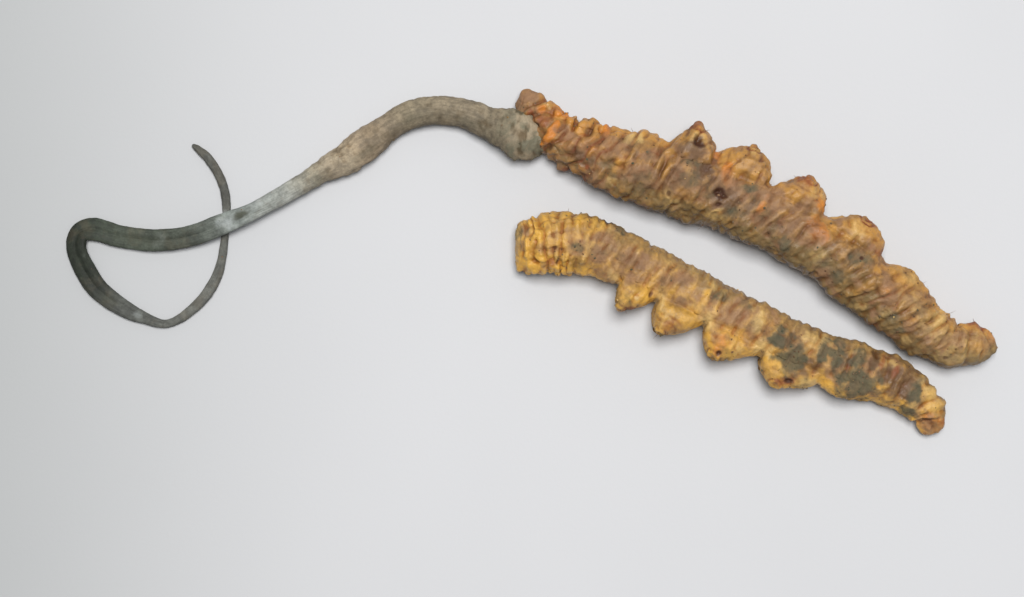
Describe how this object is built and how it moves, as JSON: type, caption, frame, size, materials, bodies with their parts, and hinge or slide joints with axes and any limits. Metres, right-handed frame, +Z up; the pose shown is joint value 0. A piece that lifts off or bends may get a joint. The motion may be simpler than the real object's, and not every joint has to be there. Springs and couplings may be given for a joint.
{
  "type": "dried cordyceps pair",
  "caption": "Two dried cordyceps lying side by side on their flanks, one with its long curled stalk, one bare.",
  "frame": {"origin": "the middle of the pair, in the plane of the surface that they lie on", "axes": "+Z up; both larvae's heads point to -X and their tails to +X and -Y; the stalk runs to -X"},
  "size_m": [0.0842, 0.0311, 0.006],
  "materials": {
    "large_skin": "dry, wrinkled, dusty brown skin with ochre folds and grey soil",
    "small_skin": "dry, wrinkled, golden yellow skin with grey soil patches",
    "stalk": "dry, matt, grey-brown, nearly black at the fold"
  },
  "bodies": {
    "root": {"large_larva": "large_skin", "small_larva": "small_skin", "stalk": "stalk"}
  },
  "joints": []
}
